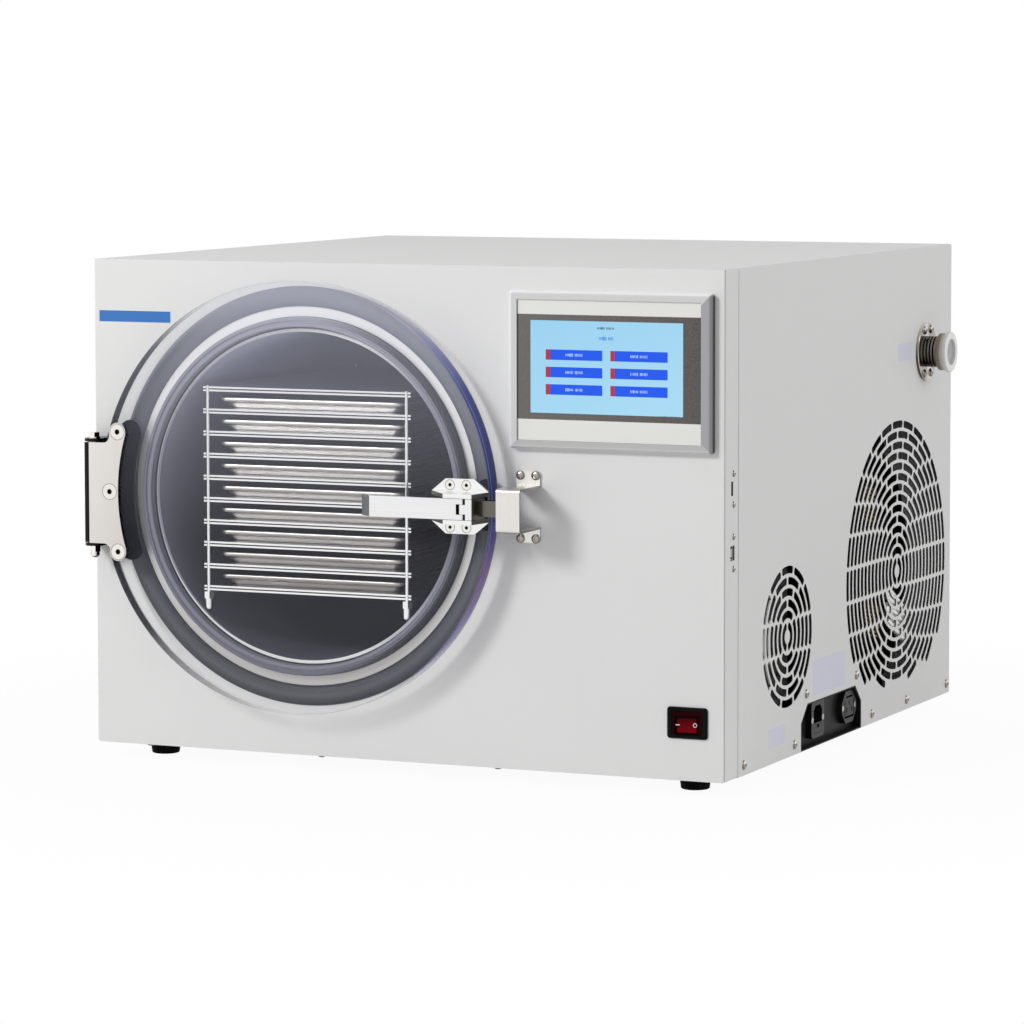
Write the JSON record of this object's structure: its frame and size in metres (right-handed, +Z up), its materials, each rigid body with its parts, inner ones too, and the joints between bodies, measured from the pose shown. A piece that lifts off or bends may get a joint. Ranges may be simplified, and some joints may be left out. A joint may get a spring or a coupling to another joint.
{
  "type": "freeze dryer",
  "caption": "Benchtop freeze dryer: white steel cabinet with a round clear door on a side hinge, latch, tray rack in a vacuum chamber, touchscreen, vents and vacuum port.",
  "frame": {"origin": "middle of the whole outline in plan, on the surface that the feet stand on", "axes": "+Z up, -Y out of the front panel and door, +X towards the side with the vents, mains sockets and vacuum port"},
  "size_m": [0.6911, 0.7224, 0.49],
  "materials": {
    "white_paint": "fine satin powder coat",
    "black_rubber": "matt",
    "screw_steel": "bright plated",
    "circuit_board": "solder-resist green",
    "black_plastic": "fine grain",
    "grey_plastic": "satin",
    "dark_overlay": "printed film",
    "display_glass": "lit panel behind film",
    "red_plastic": "translucent lens",
    "stainless": "satin",
    "polished_stainless": "polished",
    "seal_silicone": "grey silicone",
    "grey_rubber": "satin",
    "copper": "bare copper tube",
    "foam": "closed-cell foam",
    "heater_foil": "film heater",
    "clear_acrylic": "clear, polished edge",
    "black_enamel": "gloss",
    "fin_aluminium": "bare fins",
    "fan_plastic": "moulded",
    "galvanised": "zinc-plated sheet",
    "frosted_plastic": "translucent white"
  },
  "bodies": {
    "cabinet": {"base_pan": "white_paint", "casing_cover": "white_paint", "casing_screws": "screw_steel", "chamber_flange": "stainless", "chamber_insulation": "foam", "compressor": "black_enamel", "compressor_mounts": "black_rubber", "condenser": "fin_aluminium", "control_board": "circuit_board", "display_panel": "display_glass", "door_seal": "seal_silicone", "door_trim_ring": "grey_rubber", "evaporator_coil": "copper", "fan_motor": "galvanised", "fan_shroud": "galvanised", "feet": "black_rubber", "front_panel": "white_paint", "hinge_bracket": "stainless", "hinge_pin": "screw_steel", "keeper": "stainless", "mains_inlet": "black_plastic", "port_bellows": "polished_stainless", "port_flange": "polished_stainless", "power_recess": "black_plastic", "power_supply": "galvanised", "pump_outlet": "black_plastic", "rack_rods": "polished_stainless", "rear_panel": "white_paint", "refrigerant_pipes": "copper", "screen_bezel": "grey_plastic", "screen_overlay": "dark_overlay", "service_board": "circuit_board", "shelf_heaters": "heater_foil", "shelf_plates": "polished_stainless", "socket_screws": "screw_steel", "strip_screws": "screw_steel", "switch_housing": "black_plastic", "tray_1": "polished_stainless", "tray_2": "polished_stainless", "tray_3": "polished_stainless", "tray_4": "polished_stainless", "tray_5": "polished_stainless", "tray_6": "polished_stainless", "tray_7": "polished_stainless", "tray_8": "polished_stainless", "tray_9": "polished_stainless", "vacuum_chamber": "stainless", "vacuum_pipe": "stainless"},
    "door": {"door_disc": "clear_acrylic", "hinge_plate": "stainless", "hinge_screws": "stainless", "clamp_pads": "black_rubber", "hinge_block": "stainless", "latch_base": "stainless", "latch_screws": "stainless", "latch_pins": "screw_steel"},
    "bolt": {"latch_tongue": "stainless"},
    "handle": {"latch_handle": "stainless"},
    "rocker": {"switch_rocker": "red_plastic"},
    "fan": {"condenser_fan": "fan_plastic"},
    "port_plug": {"port_cap": "frosted_plastic"},
    "fuse_tray": {"fuse_drawer": "black_plastic"}
  },
  "joints": [
    {"name": "door_swing", "type": "hinge", "parent": "cabinet", "child": "door", "pos_m": [-0.33355, -0.3211, 0.2655], "axis": [0, 0, -1], "range_deg": [0, 110]},
    {"name": "bolt_slide", "type": "slide", "parent": "door", "child": "bolt", "axis": [-1, 0, 0], "range_m": [0, 0.018]},
    {"name": "handle_swing", "type": "hinge", "parent": "bolt", "child": "handle", "pos_m": [0.07655, -0.3581, 0.2655], "axis": [0, 0, 1], "range_deg": [0, 110]},
    {"name": "power_rocker", "type": "hinge", "parent": "cabinet", "child": "rocker", "pos_m": [0.28025, -0.2981, 0.06925], "axis": [0, 0, -1], "range_deg": [0, 14]},
    {"name": "fan_spin", "type": "hinge", "parent": "cabinet", "child": "fan", "pos_m": [0.26925, 0.1873, 0.1616], "axis": [1, 0, 0], "continuous": true},
    {"name": "port_plug_pull", "type": "slide", "parent": "cabinet", "child": "port_plug", "axis": [1, 0, 0], "range_m": [0, 0.04]},
    {"name": "fuse_tray_pull", "type": "slide", "parent": "cabinet", "child": "fuse_tray", "axis": [1, 0, 0], "range_m": [0, 0.016]}
  ],
  "couplings": [
    {"joint": "bolt_slide", "follows": "handle_swing", "m_per_rad": 0.009376}
  ]
}
